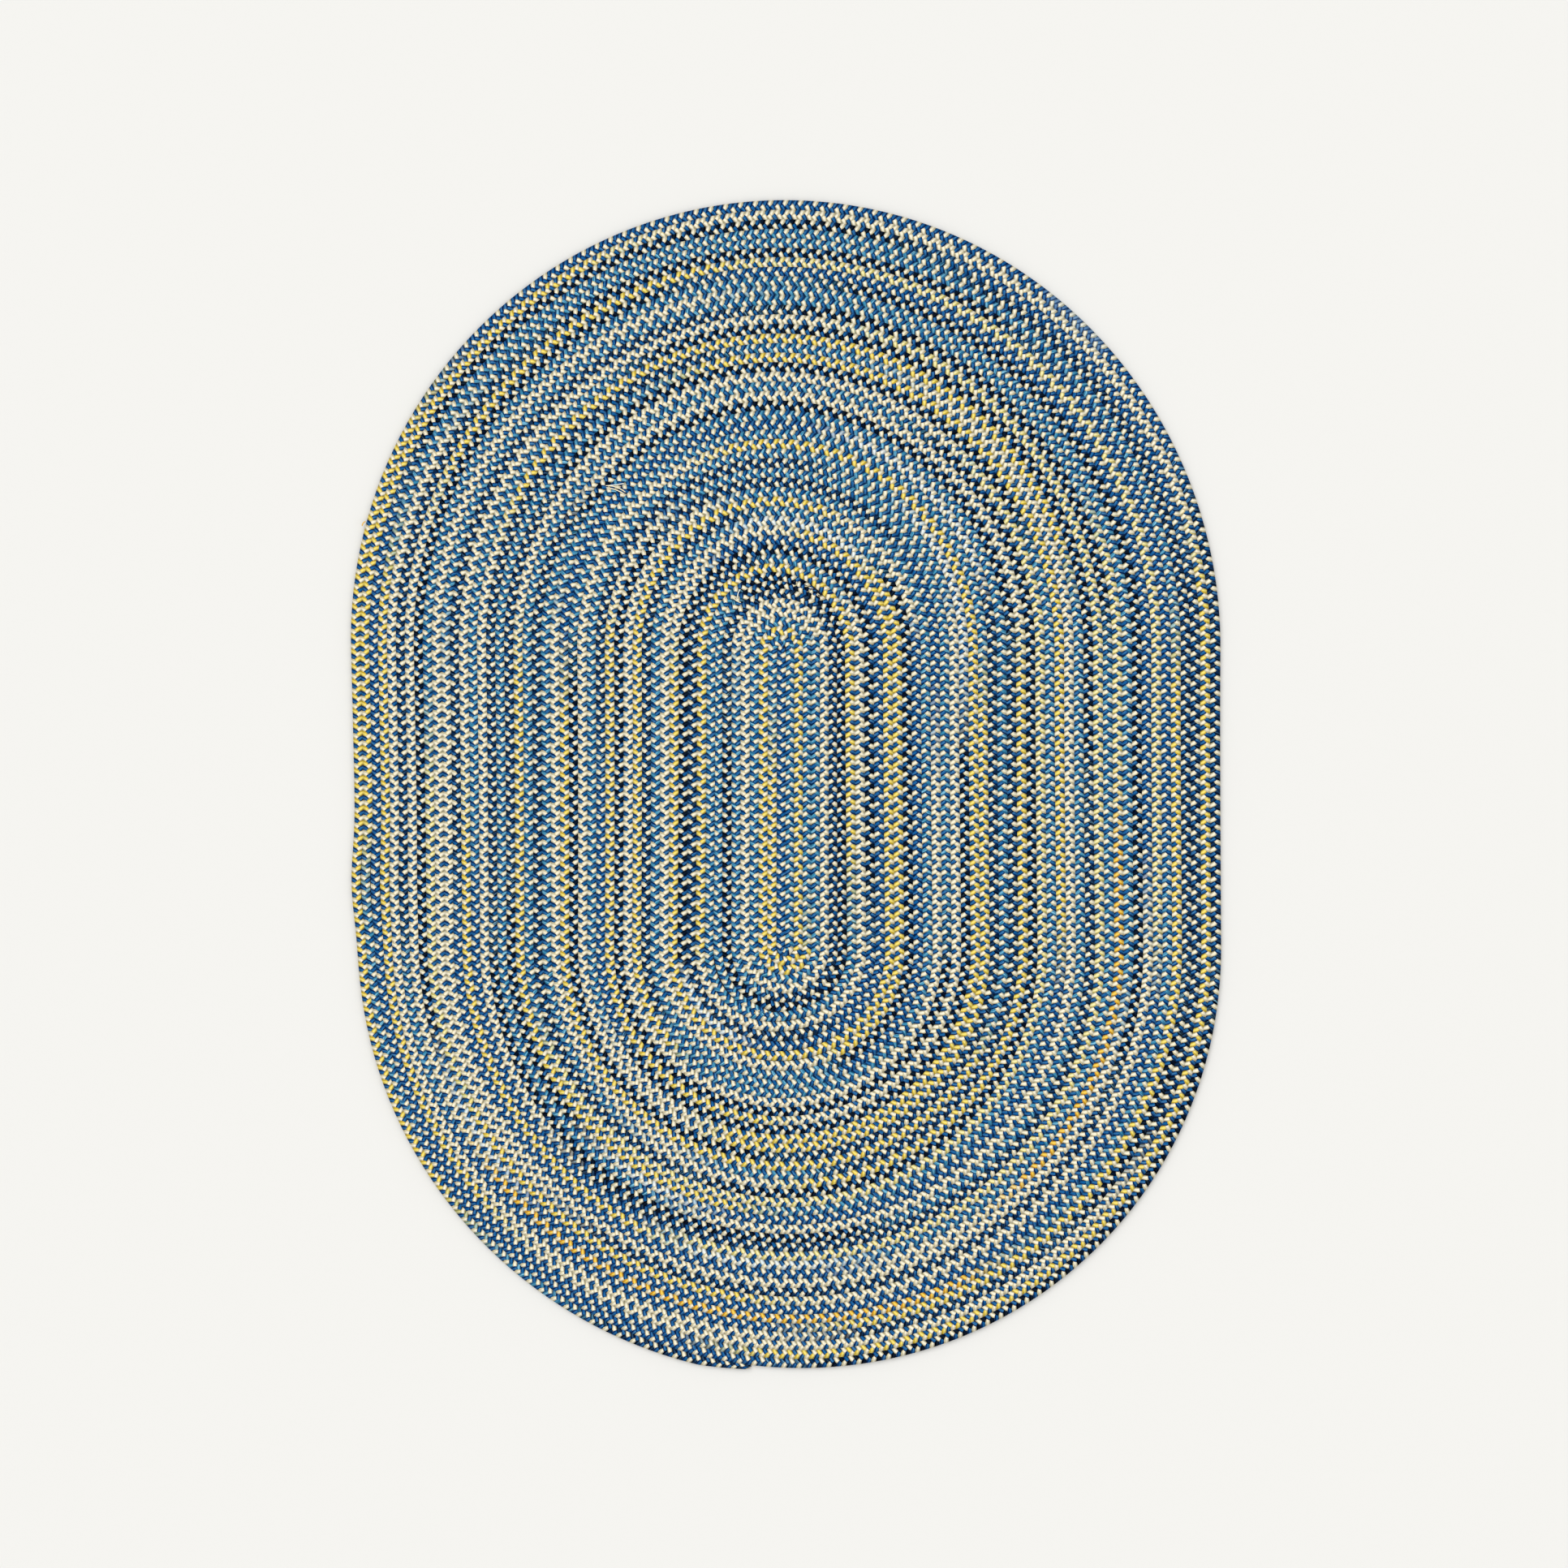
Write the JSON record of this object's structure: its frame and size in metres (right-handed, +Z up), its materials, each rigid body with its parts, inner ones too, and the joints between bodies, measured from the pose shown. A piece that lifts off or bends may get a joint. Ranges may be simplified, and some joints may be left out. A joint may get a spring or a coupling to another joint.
{
  "type": "oval braided rug",
  "caption": "Oval flat rug of three-strand cloth braid, wound round a straight core and laced lap to lap, in cream, blues and yellow.",
  "frame": {"origin": "on the floor, under the middle of the rug's outline box", "axes": "+Y along the rug's length, towards the end away from the braid's tucked end; +X across its width; +Z up out of its upper side"},
  "size_m": [1.808, 2.4298, 0.01],
  "materials": {
    "braid": "matte braided cloth strips, cream and blue with a changing third strand"
  },
  "bodies": {
    "root": {"rug": "braid"}
  },
  "joints": []
}
